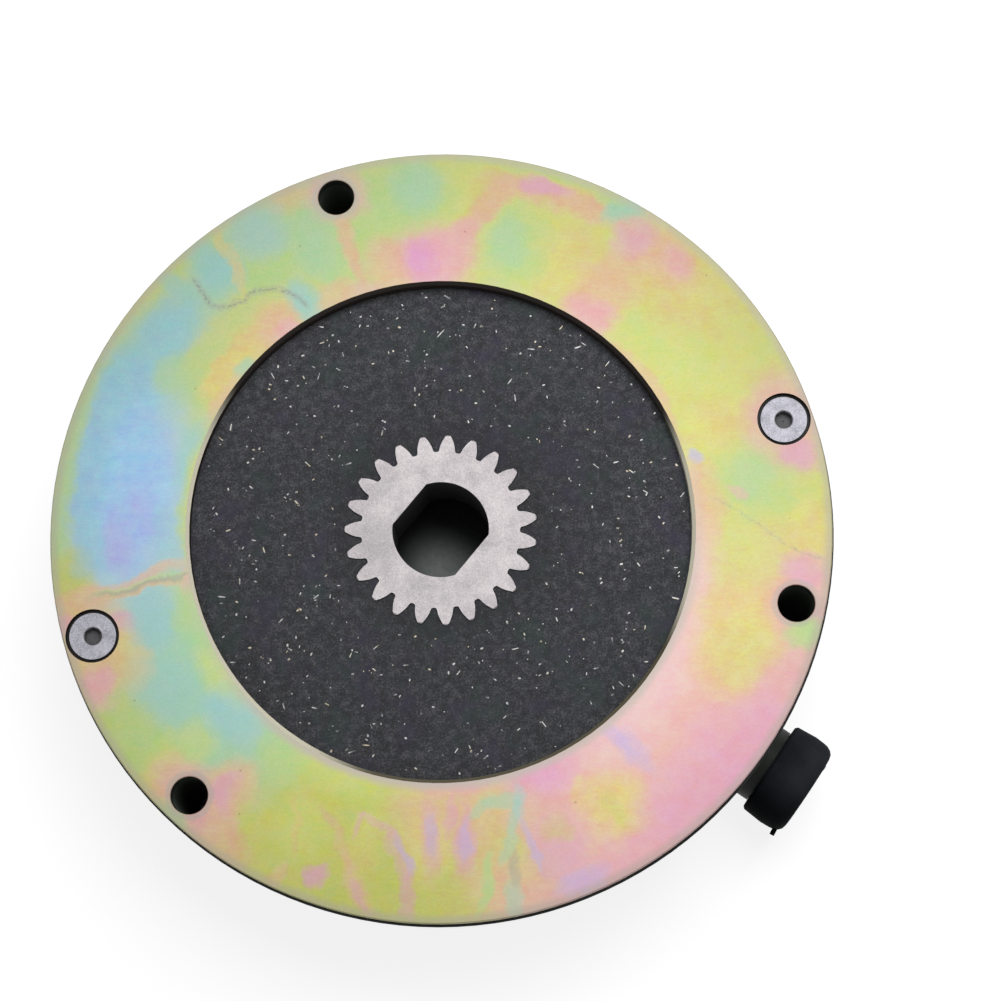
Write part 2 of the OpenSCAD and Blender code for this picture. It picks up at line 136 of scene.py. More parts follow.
def soft_box(name, place, aim, width, power):
    """A square soft box at a place, turned to face the point that it is aimed at."""
    data = bpy.data.lights.new(name, "AREA")
    data.shape = "SQUARE"
    data.size = width
    data.energy = power
    lamp = bpy.data.objects.new(name, data)
    bpy.context.scene.collection.objects.link(lamp)
    back = np.array(place, float) - np.array(aim, float)
    back /= np.linalg.norm(back)
    side = np.cross((0.0, 0.0, 1.0), back)
    side /= np.linalg.norm(side)
    lamp.matrix_world = standing(side, np.cross(back, side), back, place)


# Shader arithmetic


class Wire:
    """One value in a material. Each operator adds the Math node that does the sum, with a number or another
    value on either side."""

    def __init__(self, finish, socket):
        self.finish, self.socket = finish, socket

    def math(self, operation, *others):
        """A Math node of this value, followed by others."""
        return self.finish.math(operation, self, *others)

    def __add__(self, other):
        return self.math("ADD", other)

    def __radd__(self, other):
        return self.finish.math("ADD", other, self)

    def __sub__(self, other):
        return self.math("SUBTRACT", other)

    def __rsub__(self, other):
        return self.finish.math("SUBTRACT", other, self)

    def __mul__(self, other):
        return self.math("MULTIPLY", other)

    def __rmul__(self, other):
        return self.finish.math("MULTIPLY", other, self)

    def __truediv__(self, other):
        return self.math("DIVIDE", other)

    def __rtruediv__(self, other):
        return self.finish.math("DIVIDE", other, self)

    def __abs__(self):
        return self.math("ABSOLUTE")

    def least(self, other):
        """The smaller of two values."""
        return self.math("MINIMUM", other)

    def most(self, other):
        """The larger of two values."""
        return self.math("MAXIMUM", other)


class Finish:
    """The finish of one kind of surface: a material whose nodes are added one by one."""

    def __init__(self, name, owner=None):
        self.material = owner or bpy.data.materials.new(name)
        self.material.use_nodes = True
        self.tree = self.material.node_tree
        self.tree.nodes.clear()

    def add(self, kind, settings=None, values=None, output=0):
        """Adds a node: its type, then its settings, then the values or links of its sockets."""
        node = self.tree.nodes.new(kind)
        for name, setting in (settings or {}).items():
            if name == "stops":
                ramp = node.color_ramp
                while len(ramp.elements) < len(setting):
                    ramp.elements.new(0.5)
                for element, (place, colour) in zip(ramp.elements, setting):
                    element.position = place
                    element.color = colour
            else:
                setattr(node, name, setting)
        for key, value in (values or {}).items():
            if isinstance(value, Wire):
                self.tree.links.new(value.socket, node.inputs[key])
            else:
                node.inputs[key].default_value = value
        return Wire(self, node.outputs[output] if node.outputs else None)

    def math(self, operation, *values):
        """One sum on numbers."""
        return self.add("ShaderNodeMath", {"operation": operation}, dict(enumerate(values)))

    def vector(self, operation, *values, output=0):
        """One sum on vectors. Output 1 holds its answer where that is a number."""
        return self.add("ShaderNodeVectorMath", {"operation": operation}, dict(enumerate(values)), output)

    def scaled(self, vector, factor):
        """A vector, or a colour made lighter or darker, times a number that can change over the surface."""
        return self.add("ShaderNodeVectorMath", {"operation": "SCALE"}, {0: vector, 3: factor})

    def place(self):
        """Where a point is on the brake, in millimetres from the middle of its back face."""
        return self.scaled(self.add("ShaderNodeTexCoord", output=3), 1.0 / MM)

    def part(self, vector, axis):
        """One of the three numbers of a vector or a colour."""
        return self.add("ShaderNodeSeparateXYZ", values={0: vector}, output=axis)

    def parts(self, vector):
        """All three numbers of a vector or a colour."""
        return [self.part(vector, axis) for axis in range(3)]

    def flat(self, x, y):
        """A point of a flat sheet, from its two places on it."""
        return self.add("ShaderNodeCombineXYZ", values={0: x, 1: y, 2: 0.0})

    def brushed(self, place, scale, turn):
        """The same places squeezed and turned about the shaft axis, where noise is drawn out into strokes."""
        values = {"Vector": place, "Rotation": (0.0, 0.0, turn), "Scale": scale}
        return self.add("ShaderNodeMapping", {"vector_type": "POINT"}, values)

    def noise(self, vector, size, detail=2.0, roughness=0.5, output=0):
        """Cloudy noise from 0 to 1, whose lumps are about a size in millimetres across. Output 1 is a colour
        made of three such noises."""
        values = {"Vector": vector, "Scale": 1.0 / size, "Detail": detail, "Roughness": roughness}
        return self.add("ShaderNodeTexNoise", values=values, output=output)

    def pushed_aside(self, place, size, detail, roughness, reach):
        """Places pushed aside by soft noise, by up to half the reach in millimetres along each axis."""
        push = self.noise(place, size, detail, roughness, output=1)
        push = self.vector("SUBTRACT", push, (0.5, 0.5, 0.5))
        return self.vector("ADD", place, self.scaled(push, reach))

    def cells(self, vector, size, output=0):
        """Distance to the nearest of many scattered points, or that point's random colour."""
        values = {"Vector": vector, "Scale": 1.0 / size}
        return self.add("ShaderNodeTexVoronoi", values=values, output=output)

    def rise(self, value, low, high, start=0.0, end=1.0):
        """A smooth step: start below low, end above high."""
        values = {"Value": value, "From Min": low, "From Max": high, "To Min": start, "To Max": end}
        return self.add("ShaderNodeMapRange", {"interpolation_type": "SMOOTHSTEP"}, values)

    def fall(self, value, low, high, top=1.0):
        """A smooth step down: top below low, nothing above high."""
        return self.rise(value, low, high, top, 0.0)

    def blend(self, factor, a, b):
        """One colour laid over another."""
        return self.add("ShaderNodeMix", {"data_type": "RGBA"}, {0: factor, 6: a, 7: b}, 2)

    def ramp(self, value, stops):
        """A colour that runs from stop to stop as the value grows."""
        return self.add("ShaderNodeValToRGB", {"stops": stops}, {0: value})

    def bump(self, height, depth):
        """Relief from a height of 0 to 1, whose full depth is given in millimetres."""
        values = {"Height": height, "Distance": depth * MM, "Strength": 1.0}
        return self.add("ShaderNodeBump", values=values)

    def surface(self, **values):
        """The shader that ends the material, with its sockets by name."""
        names = {"colour": "Base Color", "roughness": "Roughness", "metallic": "Metallic", "relief": "Normal",
                 "specular": "Specular IOR Level"}
        shader = self.add("ShaderNodeBsdfPrincipled", values={names[k]: v for k, v in values.items()})
        self.add("ShaderNodeOutputMaterial", values={0: shader})
        return self.material


def from_axis(x, y):
    """Distance of a point from the shaft axis."""
    return (x * x + y * y).math("SQRT")


def toward(x, y, azimuth):
    """How far a point lies from the shaft axis in one direction."""
    turn = math.radians(azimuth)
    return x * math.cos(turn) + y * math.sin(turn)


def nearest(finish, level, angles):
    """Distance to the nearest of the centres that lie on the hole circle at these angles."""
    turns = [math.radians(angle) for angle in angles]
    centres = [(HOLE_CIRCLE_R * math.cos(turn), HOLE_CIRCLE_R * math.sin(turn), 0.0) for turn in turns]
    return reduce(Wire.least, [finish.vector("DISTANCE", level, centre, output=1) for centre in centres])


# The table and the light round the brake


def seen_directly(finish):
    """1 where the camera, a reflection or a clear piece sees a surface, 0 for the light that it throws."""
    rays = ("Is Camera Ray", "Is Glossy Ray", "Is Transmission Ray")
    return reduce(Wire.most, [finish.add("ShaderNodeLightPath", output=ray) for ray in rays])


def table_finish():
    """White table: it shows as white and keeps a part of the brake's shadow. Under the brake it is plain."""
    finish = Finish("white_table")
    plain = finish.add("ShaderNodeBsdfDiffuse", values={0: (0.8, 0.8, 0.8, 1.0)})
    shadowed = finish.add("ShaderNodeBsdfDiffuse", values={0: (0.4, 0.4, 0.4, 1.0)})
    glow = finish.add("ShaderNodeEmission", values={0: (1.0, 1.0, 1.0, 1.0), 1: 0.84})
    shown = finish.add("ShaderNodeAddShader", values={0: shadowed, 1: glow})
    from_middle = finish.vector("LENGTH", finish.place(), output=1)
    open_floor = finish.rise(from_middle, BODY_R - 4.2, BODY_R - 2.2)
    glowing = seen_directly(finish) * open_floor
    mixed = finish.add("ShaderNodeMixShader", values={0: glowing, 1: plain, 2: shown})
    finish.add("ShaderNodeOutputMaterial", values={0: mixed})
    return finish.material


def light_up():
    """A white room that throws little light of its own, and a large soft box above and behind the brake."""
    thrown = 0.12
    world = bpy.data.worlds.new("white_room")
    bpy.context.scene.world = world
    bpy.context.scene.view_settings.view_transform = "Standard"
    room = Finish("white_room", world)
    strength = room.rise(seen_directly(room), 0.0, 1.0, thrown, 1.0)
    light = room.add("ShaderNodeBackground", values={0: (1.0, 1.0, 1.0, 1.0), 1: strength})
    room.add("ShaderNodeOutputWorld", values={0: light})
    soft_box("soft_box", place=(0.14, 0.27, 0.72), aim=(0.0, 0.0, 0.03), width=0.5, power=3.5)


def build_table():
    """A flat round table top, a hair under the brake."""
    radius, sides, drop = 6.0, 96, 0.0001
    angle = np.linspace(0.0, 2.0 * math.pi, sides + 1)[:-1]
    points = np.stack([radius * np.cos(angle), radius * np.sin(angle), np.full(sides, -drop)], 1)
    mesh = bpy.data.meshes.new("table")
    mesh.from_pydata(points.tolist(), [], [list(range(sides))])
    table = bpy.data.objects.new("table", mesh)
    bpy.context.scene.collection.objects.link(table)
    mesh.materials.append(table_finish())


# The zinc's film

# The plate is unrolled for the film: cut open at this azimuth, with so many millimetres for each degree
SEAM = 240.0
ARC = 1.45

# Where a mark stops being whole and where each kind of mark ends, in squared half sizes from its middle
WHOLE = 0.03
FIELD_END = 2.3
STREAK_END = 2.2
LINE_END = 1.8

# The farthest that any mark reaches, in half sizes
REACH = 1.6

FILM = {
    "straw": (210, 211, 134), "lime": (203, 216, 138), "green": (186, 211, 148), "sea_green": (166, 208, 182),
    "teal": (160, 205, 200), "pale_blue": (160, 201, 216), "blue": (167, 203, 236), "violet": (186, 180, 228),
    "rose": (224, 168, 198), "pink": (229, 178, 184), "blush": (229, 187, 179), "pale_pink": (232, 197, 196),
    "salmon": (224, 189, 158), "amber": (222, 203, 140), "olive": (199, 202, 118), "grey": (178, 174, 158),
}

# Fields of the film, in the order in which they are laid: azimuth from and to, radius from and to, colour,
# strength
FIELDS = [
    (274, 347, 56, 110, "blush", 1.0),
    (235, 286, 56, 110, "olive", 1.0),
    (192, 234, 56, 92, "sea_green", 0.9),
    (192, 236, 89, 108, "olive", 0.7),
    (98, 137, 56, 110, "green", 0.85),
    (134, 178, 79, 98, "teal", 0.95),
    (120, 155, 56, 78, "amber", 0.85),
    (132, 156, 74, 80, "green", 0.7),
    (150, 160, 64, 80, "green", 0.7),
    (155.5, 191.5, 67, 97.5, "blue", 1.0),
    (156, 186, 88, 98, "pale_blue", 0.6),
    (156, 172, 62, 71, "teal", 0.7),
    (172, 188, 74, 87, "violet", 0.2),
    (178, 187, 80, 86, "violet", 0.5),
    (173, 180, 74, 80, "violet", 0.25),
    (138, 150, 83, 94, "pale_blue", 0.6),
    (150, 158, 86, 97, "pale_blue", 0.7),
    (146, 153, 79, 86, "green", 0.6),
    (155, 192, 96.5, 104, "green", 0.8),
    (3, 16, 72, 93, "green", 0.65),
    (5, 13, 76, 86, "sea_green", 0.3),
    (-8, 3, 90, 100, "amber", 0.7),
    (-14, 2, 62, 72, "pale_pink", 0.8),
    (-2, 14, 63, 68.5, "pink", 0.5),
    (-4, 13, 64, 73, "salmon", 0.6),
    (22, 50, 63, 67.3, "salmon", 0.7),
    (14, 17, 66, 69, "violet", 0.6),
    (16, 25, 69, 85, "amber", 0.55),
    (34, 50, 70, 84, "lime", 0.7),
    (38, 55, 78, 99, "amber", 0.6),
    (45, 58, 86, 98, "salmon", 0.85),
    (46, 51, 90, 97, "pink", 0.6),
    (54, 60, 86, 98, "rose", 0.65),
    (51, 61, 62, 86, "salmon", 0.9),
    (50, 60, 63, 73, "pink", 0.75),
    (60, 71, 68, 88, "amber", 0.5),
    (62, 90, 97.5, 103, "green", 0.4),
    (60, 81, 90.5, 97, "salmon", 0.9),
    (70, 77, 93, 97, "rose", 0.7),
    (70, 83, 66, 88, "green", 0.65),
    (74, 81, 72, 84, "sea_green", 0.45),
    (84.5, 101, 62, 80, "pink", 0.95),
    (91, 98, 67, 77, "rose", 0.95),
    (97, 106, 62, 78, "salmon", 0.8),
    (88, 104, 82, 99, "green", 0.75),
    (90.5, 98, 85, 98, "sea_green", 0.65),
    (103.2, 112, 87, 101, "pink", 0.75),
    (104, 113, 62, 68, "pink", 0.6),
    (110, 118, 74, 92, "sea_green", 0.5),
    (110, 118, 62, 71, "salmon", 0.7),
    (112, 118, 94, 102, "salmon", 0.6),
    (119, 127, 79, 88, "green", 0.7),
    (117.5, 126, 86, 100, "pale_blue", 0.55),
    (118, 124, 63, 76, "teal", 0.85),
    (127.5, 134, 84, 99, "teal", 0.85),
    (124, 133, 63, 75, "salmon", 0.9),
    (125, 130, 62, 69, "pink", 0.7),
    (137, 143, 62, 68, "sea_green", 0.7),
    (144, 156, 62, 67, "salmon", 0.6),
    (184, 192, 90, 101, "olive", 0.85),
    (188, 196, 62, 68, "pink", 0.7),
    (192, 207.5, 84, 104, "salmon", 0.8),
    (193, 196.5, 96, 102, "pink", 0.8),
    (202.5, 209, 92, 99, "pink", 0.85),
    (195, 199, 82, 89, "rose", 0.6),
    (198, 208, 80.5, 90, "amber", 0.75),
    (193, 203, 70, 83, "pale_blue", 0.6),
    (203, 217, 74, 88, "pale_blue", 0.3),
    (176, 189, 64, 74, "pale_blue", 0.6),
    (180, 188, 86, 95, "pale_blue", 0.5),
    (206, 222, 62, 71, "lime", 0.75),
    (194, 206, 62, 71, "green", 0.7),
    (209, 222, 88, 100, "green", 0.7),
    (217, 230, 66, 77, "pale_blue", 0.5),
    (218, 225, 78, 96, "lime", 0.7),
    (220, 225.5, 88, 101, "amber", 0.7),
    (222, 233, 86, 99.5, "pink", 0.75),
    (228, 236, 78, 92, "salmon", 0.85),
    (229.5, 233.5, 82, 91, "rose", 0.6),
    (225, 229.5, 98, 103, "green", 0.9),
    (230, 236, 88, 101, "pink", 0.6),
    (232, 240, 92, 101, "salmon", 0.7),
    (232, 242, 62, 76, "green", 0.75),
    (239, 262, 60, 72, "lime", 0.5),
    (242, 250, 78, 92, "lime", 0.45),
    (249.5, 252.5, 91.5, 95.5, "rose", 0.7),
    (254, 260, 76, 92, "amber", 0.4),
    (262, 284, 62, 84, "salmon", 0.75),
    (274, 284, 84, 97, "salmon", 0.5),
    (266, 283, 60, 68, "pink", 0.7),
    (264, 272, 74, 90, "amber", 0.7),
    (277, 286, 88, 99, "salmon", 0.7),
    (284, 345, 92, 108, "pink", 0.9),
    (286, 294, 80, 94, "rose", 0.6),
    (285, 300, 62, 73, "rose", 0.8),
    (289, 293, 79, 85, "olive", 0.7),
    (297, 307, 76, 90, "amber", 0.9),
    (300, 303, 80, 88, "olive", 0.4),
    (304, 312, 62, 72, "pink", 0.6),
    (284, 294, 70, 84, "pink", 0.5),
    (300, 330, 60, 76, "pale_pink", 0.6),
    (288, 296, 94, 99.5, "violet", 0.45),
    (306, 331, 84, 101, "rose", 0.5),
    (309, 313, 70, 82, "violet", 0.35),
    (312, 345, 60, 73, "pale_pink", 0.8),
    (330, 350, 72, 90, "amber", 0.85),
    (332, 342, 76, 90, "straw", 0.5),
    (349, 358, 70, 84, "straw", 0.5),
    (343, 352.5, 86.5, 100, "pink", 0.8),
    (341, 345.5, 92, 101, "green", 0.95),
    (351, 355.5, 88, 100, "rose", 0.6),
    (10.5, 24, 84.5, 103, "pink", 0.75),
    (9.5, 13.5, 90, 99, "rose", 0.6),
    (157, 188, 62, 67.2, "green", 0.8),
    (158, 192, 62, 65.8, "straw", 0.7),
]

# Streaks in the film: azimuth and radius of one end and of the other, width, colour, strength
STREAKS = [
    (28, 84, 34, 70, 5, "lime", 0.5),
    (6.3, 79, 7.3, 75.5, 1.3, "pink", 0.55),
    (59.8, 101, 61.3, 94, 3.0, "sea_green", 1.0),
    (61, 100, 64.5, 98, 2.6, "green", 0.8),
    (79, 94, 86, 79, 3.0, "salmon", 0.9),
    (85, 81, 91, 72, 4, "pink", 0.7),
    (107.6, 88, 107.9, 68, 2.4, "salmon", 0.9),
    (126.2, 100, 128.2, 88, 1.2, "amber", 0.6),
    (128.2, 88, 129.8, 81, 1.4, "amber", 0.6),
    (191.2, 100, 191.7, 86, 2.6, "salmon", 0.8),
    (191.7, 88, 188, 68, 2.0, "salmon", 0.75),
    (191.8, 88, 190.6, 66, 1.5, "green", 0.8),
    (191.9, 88, 190.8, 66, 1.0, "grey", 0.9),
    (192.4, 88, 191.6, 66, 0.8, "salmon", 0.6),
    (245, 101, 246, 94, 2.0, "salmon", 0.6),
    (260.5, 100, 255.5, 89, 2.2, "salmon", 0.65),
    (255.5, 89, 249, 78, 1.6, "salmon", 0.5),
    (260, 99, 257, 92, 1.0, "rose", 0.4),
    (266, 98, 264.6, 88, 1.8, "rose", 0.5),
    (264.8, 89, 261.5, 79, 2.2, "rose", 0.45),
    (265.2, 87, 262.5, 80, 1.2, "violet", 0.45),
    (261.5, 79, 255.5, 76, 1.3, "rose", 0.4),
    (255.5, 76, 254.8, 82, 1.0, "rose", 0.4),
    (269, 88, 268.6, 72, 2.8, "rose", 0.5),
    (269, 83, 268.7, 75, 1.8, "violet", 0.4),
    (275.2, 87, 275.2, 73, 2.6, "rose", 0.6),
    (275.2, 84, 275.2, 76, 1.5, "violet", 0.45),
    (272, 78, 272.4, 70, 1.6, "rose", 0.5),
    (276, 97, 279.4, 85, 1.4, "green", 0.9),
    (281.5, 87, 284, 80, 1.5, "sea_green", 0.5),
    (284, 80, 285.8, 73, 1.7, "sea_green", 0.6),
    (276.5, 73.5, 280, 71, 1.8, "sea_green", 0.5),
    (280, 70.5, 285.5, 72, 2.2, "sea_green", 0.6),
    (285.8, 77, 286.4, 70, 2.0, "teal", 0.5),
    (281.5, 101, 281.8, 92, 2.0, "sea_green", 0.6),
    (286.8, 90, 286.4, 79, 1.2, "violet", 0.45),
    (282.6, 92, 283.4, 86, 1.2, "grey", 0.7),
    (297, 77, 299, 74, 2.0, "amber", 0.6),
    (247, 90, 243.5, 80, 1.2, "amber", 0.6),
    (310.5, 75, 308.5, 66, 1.8, "violet", 0.4),
    (136.5, 92, 137.5, 98, 2.4, "teal", 0.5),
    (231, 90, 234, 97, 1.4, "salmon", 0.6),
    (237.5, 97, 233, 84, 1.4, "salmon", 0.55),
]

# The two scratches that run from the rim inwards: strength, half width, azimuth and radius of each bend
SCRATCHES = [
    (0.62, 0.9, [(134.5, 92.5), (135.2, 87.8), (135.6, 85.1), (134.8, 82.4), (133.5, 81.2), (131.9, 80.5),
                 (130.4, 79.6), (128.8, 80.2), (126.5, 78.8), (124.0, 76.7), (122.5, 74.0), (121.3, 71.4),
                 (120.9, 68.8)]),
    (0.28, 0.5, [(6.0, 70.7), (3.2, 76.0), (-0.3, 83.0), (-1.7, 85.5), (-3.3, 89.1), (-4.2, 92.3),
                 (-5.1, 98.5)]),
]


def unrolled(finish, place):
    """The plate unrolled: azimuth times a middling arc length along it, radius across it."""
    x, y = finish.part(place, 0), finish.part(place, 1)
    azimuth = (y.math("ARCTAN2", x) * (180.0 / math.pi)).math("WRAP", SEAM, SEAM - 360.0)
    return finish.flat(azimuth * ARC, from_axis(x, y))


def past_seam(azimuth):
    """An azimuth counted from the seam of the unrolled plate."""
    return (azimuth - SEAM) % 360.0 + SEAM - 360.0


def level_oval(finish, sheet, x, y, half_along, half_across):
    """Squared distance from the middle of an oval that lies along the unrolled plate, in its half sizes."""
    oval = finish.vector("MULTIPLY_ADD", sheet, (1 / half_along, 1 / half_across, 0.0),
                         (-x / half_along, -y / half_across, 0.0))
    return finish.vector("DOT_PRODUCT", oval, oval, output=1)


def turned_oval(finish, sheet, x, y, half_along, half_across, turn):
    """The same for an oval that is turned on the unrolled plate."""
    c, s = math.cos(turn), math.sin(turn)
    along = (c / half_along, s / half_along, 0.0)
    across = (-s / half_across, c / half_across, 0.0)
    u = finish.vector("DOT_PRODUCT", sheet, along, output=1) - (x * along[0] + y * along[1])
    v = finish.vector("DOT_PRODUCT", sheet, across, output=1) - (x * across[0] + y * across[1])
    return u * u + v * v


def mark_weight(finish, sheet, middle, half_sizes, turn, strength, end):
    """Weight of an oval mark on the unrolled plate: its strength in the middle, falling smoothly to nothing.
    A mark that reaches over the seam is laid down on both sides of it."""
    azimuth, radius = middle
    reach = REACH * max(half_sizes) / ARC
    first = past_seam(azimuth)
    azimuths = [first]
    if first + reach > SEAM:
        azimuths.append(first - 360.0)
    if first - reach < SEAM - 360.0:
        azimuths.append(first + 360.0)
    if turn == 0.0:
        ovals = [level_oval(finish, sheet, place * ARC, radius, *half_sizes) for place in azimuths]
    else:
        ovals = [turned_oval(finish, sheet, place * ARC, radius, *half_sizes, turn) for place in azimuths]
    return finish.fall(reduce(Wire.least, ovals), WHOLE, end, strength)


def stroke_weight(finish, sheet, start, stop, past, half_width, strength, end):
    """Weight of a long mark drawn from one azimuth and radius to another, and a little past both."""
    run, climb = (stop[0] - start[0]) * ARC, stop[1] - start[1]
    middle = ((start[0] + stop[0]) / 2, (start[1] + stop[1]) / 2)
    half_sizes = (math.hypot(run, climb) / 2 + past, half_width)
    return mark_weight(finish, sheet, middle, half_sizes, math.atan2(climb, run), strength, end)


def scratched(finish, place, colour):
    """Scratches drawn bend by bend: a soft grey smear with a broken dark line in its middle."""
    sheet = unrolled(finish, finish.pushed_aside(place, 2.0, 3.0, 0.7, 2.2))
    broken = finish.rise(finish.noise(place, 0.8, 3.0, 0.7), 0.42, 0.58)
    for strength, width, bends in SCRATCHES:
        runs = list(zip(bends, bends[1:]))
        smear = reduce(Wire.most, [
            stroke_weight(finish, sheet, *run, width, width, strength, STREAK_END) for run in runs])
        line = reduce(Wire.most, [
            stroke_weight(finish, sheet, *run, 0.3, width * 0.3, strength, LINE_END) for run in runs])
        colour = finish.blend(smear * (0.4 + broken * 0.35), colour, pigment(168, 167, 160))
        colour = finish.blend(line * broken * 0.8, colour, pigment(112, 118, 116))
    return colour


def zinc_film(finish, place):
    """Colour of the film: the fields and the streaks laid over each other on the unrolled plate, with every
    point pushed aside by soft noise so that their borders wander as a film's do. Then its thickness changes
    by noise, which turns each colour a little towards its neighbours in the rainbow."""
    sheet = unrolled(finish, finish.pushed_aside(place, 9.0, 5.0, 0.6, 8.0))
    colour = pigment(*FILM["straw"])
    for start, stop, low, high, name, strength in FIELDS:
        middle = ((start + stop) / 2, (low + high) / 2)
        half_sizes = ((stop - start) / 2 * ARC, (high - low) / 2)
        weight = mark_weight(finish, sheet, middle, half_sizes, 0.0, strength, FIELD_END)
        colour = finish.blend(weight, colour, pigment(*FILM[name]))
    for az0, r0, az1, r1, width, name, strength in STREAKS:
        weight = stroke_weight(finish, sheet, (az0, r0), (az1, r1), width / 2, width * 0.9, strength * 0.9,
                               STREAK_END)
        colour = finish.blend(weight, colour, pigment(*FILM[name]))
    broad = finish.noise(place, 7.0, 3.0, 0.6) - 0.5
    strokes = finish.noise(finish.brushed(place, (0.35, 1.3, 1.0), 0.9), 1.3, 3.0, 0.65) - 0.5
    fullness = finish.noise(place, 4.0, 4.0, 0.65)
    thickness = finish.add("ShaderNodeHueSaturation", values={
        "Hue": 0.5 + broad * 0.09 + strokes * 0.06,
        "Saturation": 0.82 + fullness * 0.5,
        "Value": 1.0,
        "Color": colour,
    })
    return scratched(finish, place, thickness)


def zinc_yellow():
    """Zinc with a yellow film that shines in all colours, paler where its edges have been handled."""
    finish = Finish("zinc_yellow")
    place = finish.place()
    colour = zinc_film(finish, place)
    x, y, z = finish.parts(place)
    radius = from_axis(x, y)
    grain = finish.noise(place, 0.45, 2.0, 0.6)
    cloud = finish.noise(place, 5.0, 4.0, 0.6)

    # Mottled, with painted shade towards the upper right and at the top, painted light near the inlet, and
    # darker outwards
    chopped = finish.noise(finish.brushed(place, (0.8, 2.2, 1.0), -0.7), 0.9, 3.0, 0.7)
    # Grain, cloud and strokes are the zinc's mottle; the last term is painted shade towards the upper right
    mottle_and_shade = 0.88 + grain * 0.2 + cloud * 0.1 + chopped * 0.14 - toward(x, y, 59.5) * 0.00089
    painted_light_near_inlet = finish.rise(toward(x, y, -40.0), 48.0, 84.0)
    # Painted light near the inlet and painted shade at the top; the plate also gets darker outwards
    even = 1.045 - (radius - 84.0) * 0.0045 + painted_light_near_inlet * 0.11 - finish.rise(y, 15.0, 60.0) * 0.06
    colour = finish.scaled(colour, mottle_and_shade * even)

    # A few dark pits
    pits = finish.fall(finish.cells(place, 7.0), 0.02, 0.06)
    picked = finish.rise(finish.part(finish.cells(place, 7.0, output=1), 0), 0.62, 0.66)
    colour = finish.blend(pits * picked * 0.4, colour, pigment(120, 112, 92))

    # Pale rims at the outside and at the opening
    mouth_r = OPENING_R + OPENING_CHAMFER
    ragged = radius + cloud * 1.2 - 0.6
    outer = finish.rise(ragged, PLATE_R - 3.1, PLATE_R - 0.6)
    inner = finish.fall(ragged, mouth_r + 0.2, mouth_r + 3.0)
    colour = finish.blend(outer * 0.55, colour, pigment(190, 184, 172))
    frosted = finish.rise(toward(x, y, -72.5), 0.0, 50.0)
    colour = finish.blend(inner * (0.15 + frosted * 0.75), colour, pigment(220, 208, 198))

    # The opening's wall and chamfer: a painted highlight where they turn to the light, painted shade
    # elsewhere
    edge = (finish.fall(z, PLATE_FACE_Z - 0.07, PLATE_FACE_Z - 0.01)
            * finish.fall(radius, mouth_r + 0.4, mouth_r + 1.4))
    chamfer_z = PLATE_FACE_Z - OPENING_CHAMFER
    chamfered = finish.rise(z, chamfer_z - 0.04, chamfer_z + 0.02)
    shown = (finish.fall(toward(x, y, 19.9), -52.0, -36.0) * chamfered).most(finish.rise(x, 57.0, 64.0))
    # Painted shade: dark olive on the lower side, near black above
    painted_shade_colour = finish.blend(finish.rise(y, -45.0, -10.0), pigment(104, 98, 78), pigment(30, 22, 18))
    colour = finish.blend(edge, colour, finish.blend(shown, painted_shade_colour, pigment(244, 238, 214)))

    # Countersinks and hole walls darkened with painted shade, and the pale ring that a washer left round each
    # hole
    level = finish.flat(x, y)
    from_hole = nearest(finish, level, HOLE_ANGLES)
    washer = finish.fall(abs(from_hole + cloud * 1.6 - 6.2), 0.2, 1.3)
    colour = finish.blend(washer * 0.45, colour, pigment(180, 188, 176))
    from_screw = nearest(finish, level, SCREW_ANGLES)
    # Painted shade in the countersink round each screw head
    countersink_shade = (finish.fall(from_screw, COUNTERSINK_R + 0.04, COUNTERSINK_R + 0.15)
                   * finish.fall(z, PLATE_FACE_Z - 0.1, PLATE_FACE_Z - 0.03))
    colour = finish.blend(countersink_shade, colour, pigment(20, 16, 14))
    # Painted shade on the plate's hole walls
    hole = (finish.fall(from_hole, HOLE_R + 0.15, HOLE_R + 0.25)
            * finish.fall(z, PLATE_FACE_Z - 0.25, PLATE_FACE_Z - 0.1))
    colour = finish.blend(hole, colour, pigment(52, 56, 50))

    relief = finish.bump(grain * 0.6 + cloud * 0.4, 0.02)
    return finish.surface(colour=colour, roughness=0.42 + cloud * 0.12, metallic=0.12, relief=relief,
                          specular=0.25)


# The other finishes


